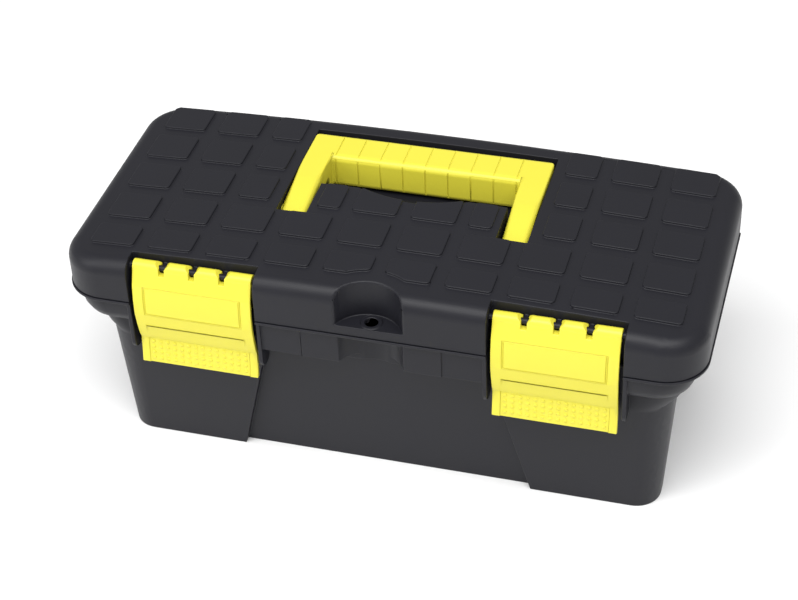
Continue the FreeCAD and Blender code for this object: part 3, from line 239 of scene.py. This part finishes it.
black = polypropylene("black_polypropylene_fine_grain", BLACK, BLACK_ROUGHNESS, BLACK_GLOSS,
                      GRAIN_DEPTH_MM)
tub = moulded_copy("tub", "tub_shell", TUB_ROUNDING_MM)
stand_in(tub, "tub", "tub", black)


# ---- lid -------------------------------------------------------------------------------
# The lid is the same black polypropylene, moulded with five rows of raised tiles, a deep
# recess for the handle, a bay for each latch and a scallop for a padlock. The scallop's
# outer rim is rounder than the tiles' edges.

LID_ROUNDING_MM = 0.5
SCALLOP_ROUNDING_MM = 1.2
SCALLOP_AXIS_MM = Vector((0.0, -79.2))
SCALLOP_RADIUS_MM = 18.2
SCALLOP_SHELF_MM = 103.2
RIM_TOLERANCE_MM = 0.3
SHELF_CLEARANCE_MM = 0.5


def on_scallop_rim(middle):
    """Whether a lid edge runs round the outer rim of the padlock scallop, above its shelf."""
    out = (Vector(middle.xy) - SCALLOP_AXIS_MM).length
    above_shelf = middle.z > SCALLOP_SHELF_MM + SHELF_CLEARANCE_MM
    return abs(out - SCALLOP_RADIUS_MM) < RIM_TOLERANCE_MM and above_shelf


lid = moulded_copy("lid", "lid_shell", LID_ROUNDING_MM, SCALLOP_ROUNDING_MM, on_scallop_rim)
stand_in(lid, "lid", "lid", black)


# ---- carry handle ----------------------------------------------------------------------
# The handle is a bright yellow polypropylene moulding, glossier than the shells, with nine
# grooves round its grip. The pegs on its two legs snap into holes in the lid. The groove
# edges are crisp and the legs are well rounded for the hand.

HANDLE_ROUNDING_MM = 0.9
GROOVE_ROUNDING_MM = 0.12
LEG_INNER_MM = 50.2
YELLOW = ("#D2C93A", "#D6CD40")
YELLOW_ROUGHNESS = 0.38
YELLOW_GLOSS = 0.4
YELLOW_GRAIN_DEPTH_MM = 0.006

# A satin finish: the mould is polished finer here, so the grain is shallow.
yellow = polypropylene("yellow_polypropylene_satin", YELLOW, YELLOW_ROUGHNESS, YELLOW_GLOSS,
                       YELLOW_GRAIN_DEPTH_MM)


def beside_grooves(middle):
    """Whether a handle edge belongs to the legs, clear of the grip and its grooves."""
    return abs(middle.x) > LEG_INNER_MM


handle = moulded_copy("carry_handle", "carry_handle_grip", GROOVE_ROUNDING_MM, HANDLE_ROUNDING_MM,
                      beside_grooves)
stand_in(handle, "carry_handle", "carry_handle", yellow)


# ---- latches ---------------------------------------------------------------------------
# Each latch is a yellow polypropylene plate that clips onto the lid's bar and snaps over
# the tub's catch. Its foot has a sunk field with four rows of small raised grip dots,
# which are part of the same moulding.

LATCH_ROUNDING_MM = 0.4
LATCHES_FROM_MIDDLE_MM = 90.5
DOT_RADIUS_MM = 1.05
DOT_HEIGHT_MM = 0.45
DOT_PITCH_MM = 3.75
DOT_COLUMNS = 14
DOT_SEGMENTS = 16
DOT_RINGS = 8
DOT_ROW_HEIGHTS_MM = (62.3, 65.5, 68.7, 71.9)
# Height and place, front to back, of the sunk field's face.
FIELD_FACE_MM = ((59.5, -70.6), (67.0, -69.5), (74.2, -68.8))


def field_face(height):
    """Where the sunk field's face stands, front to back, at a height, in mm."""
    for (low, near), (high, far) in zip(FIELD_FACE_MM, FIELD_FACE_MM[1:]):
        if low <= height <= high:
            return near + (far - near) * (height - low) / (high - low)


def grip_dots(name, middle):
    """Rows of flattened domes, each sunk into the latch's foot by its lower half."""
    made = []
    for height in DOT_ROW_HEIGHTS_MM:
        for column in range(DOT_COLUMNS):
            across = middle + (column - (DOT_COLUMNS - 1) / 2) * DOT_PITCH_MM
            deselect_all()
            if not made:
                bpy.ops.mesh.primitive_uv_sphere_add(segments=DOT_SEGMENTS, ring_count=DOT_RINGS,
                                                     radius=DOT_RADIUS_MM * MM,
                                                     rotation=(math.radians(90), 0, 0))
                dot = bpy.context.object
                bpy.ops.object.transform_apply(location=False, rotation=True, scale=False)
                bpy.ops.object.mode_set(mode="EDIT")
                bpy.ops.mesh.select_all(action="SELECT")
                bpy.ops.transform.resize(value=(1.0, DOT_HEIGHT_MM / DOT_RADIUS_MM, 1.0))
                bpy.ops.object.mode_set(mode="OBJECT")
                bpy.ops.object.shade_smooth()
            else:
                dot = made[0].copy()
                dot.data = made[0].data.copy()
                scene.collection.objects.link(dot)
            dot.location = Vector((across, field_face(height), height)) * MM
            made.append(dot)
    deselect_all()
    for dot in made:
        dot.select_set(True)
    bpy.context.view_layer.objects.active = made[0]
    bpy.ops.object.join()
    dots = bpy.context.object
    dots.name = name
    bpy.ops.object.transform_apply(location=True, rotation=True, scale=True)
    return dots


for side, sign in (("left", -1), ("right", 1)):
    latch = moulded_copy(f"latch_{side}", f"latch_plate_{side}", LATCH_ROUNDING_MM)
    stand_in(latch, f"latch_{side}", f"latch_{side}", yellow)
    dots = grip_dots(f"latch_grip_dots_{side}", sign * LATCHES_FROM_MIDDLE_MM)
    dots.data.materials.append(yellow)
    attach(dots, f"latch_{side}")


# ---- hinge rods ------------------------------------------------------------------------
# Two rods of drawn steel hold the lid's knuckles between the tub's. They are cropped to
# length, with a small break on each end, and drawing leaves fine lines along them, which
# stretch the highlights lengthways.

ROD_ROUNDING_MM = 0.2
STEEL = "#B9B8B4"
DRAW_LINE_MM = 0.25
DRAW_LENGTH_MM = 15.0
DRAW_DEPTH_MM = 0.01
STEEL_ROUGHNESS = (0.24, 0.42)

steel = bpy.data.materials.new("drawn_steel")
steel.use_nodes = True
steel_shader = steel.node_tree.nodes["Principled BSDF"]
steel_shader.inputs["Base Color"].default_value = linear(STEEL)
steel_shader.inputs["Metallic"].default_value = 1.0
steel_place = add_node(steel.node_tree, "ShaderNodeTexCoord").outputs["Object"]
lines_along = 1 / (DRAW_LENGTH_MM * MM)
lines_across = 1 / (DRAW_LINE_MM * MM)
steel_stretch = add_node(steel.node_tree, "ShaderNodeMapping",
                         {"Scale": (lines_along, lines_across, lines_across)},
                         {"Vector": steel_place})
steel_lines = add_node(steel.node_tree, "ShaderNodeTexNoise", {"Scale": 1.0, "Detail": 2.0},
                       {"Vector": steel_stretch.outputs["Vector"]})
steel_polish = add_node(steel.node_tree, "ShaderNodeMapRange",
                        {"To Min": STEEL_ROUGHNESS[0], "To Max": STEEL_ROUGHNESS[1]},
                        {"Value": steel_lines.outputs["Fac"]})
steel.node_tree.links.new(steel_polish.outputs["Result"], steel_shader.inputs["Roughness"])
steel_relief = add_node(steel.node_tree, "ShaderNodeBump",
                        {"Strength": 0.6, "Distance": DRAW_DEPTH_MM * MM},
                        {"Height": steel_lines.outputs["Fac"]})
steel.node_tree.links.new(steel_relief.outputs["Normal"], steel_shader.inputs["Normal"])

for side in ("left", "right"):
    rod = moulded_copy(f"hinge_pin_{side}", f"hinge_rod_{side}", ROD_ROUNDING_MM)
    stand_in(rod, f"hinge_pin_{side}", "tub", steel)


# ---- tray ------------------------------------------------------------------------------
# The lift-out tray is a thin black polypropylene moulding that hangs in the tub's mouth by
# its end flanges. Its inner walls are moulded in, and a bar across the middle is its grip.

TRAY_ROUNDING_MM = 0.35

tray = moulded_copy("tray", "tray_shell", TRAY_ROUNDING_MM)
stand_in(tray, "tray", "tray", black)


# ---- tray dividers ---------------------------------------------------------------------
# Two loose plates of grey polypropylene slide down between guide ribs in the tray's end
# compartments.

DIVIDER_ROUNDING_MM = 0.3
GREY = ("#6E7174", "#75787B")
GREY_ROUGHNESS = 0.45
GREY_GLOSS = 0.4

grey = polypropylene("grey_polypropylene", GREY, GREY_ROUGHNESS, GREY_GLOSS, GRAIN_DEPTH_MM)
for side in ("left", "right"):
    node_name = f"tray_divider_{side}"
    divider = moulded_copy(node_name, f"tray_divider_plate_{side}", DIVIDER_ROUNDING_MM)
    stand_in(divider, node_name, node_name, grey)
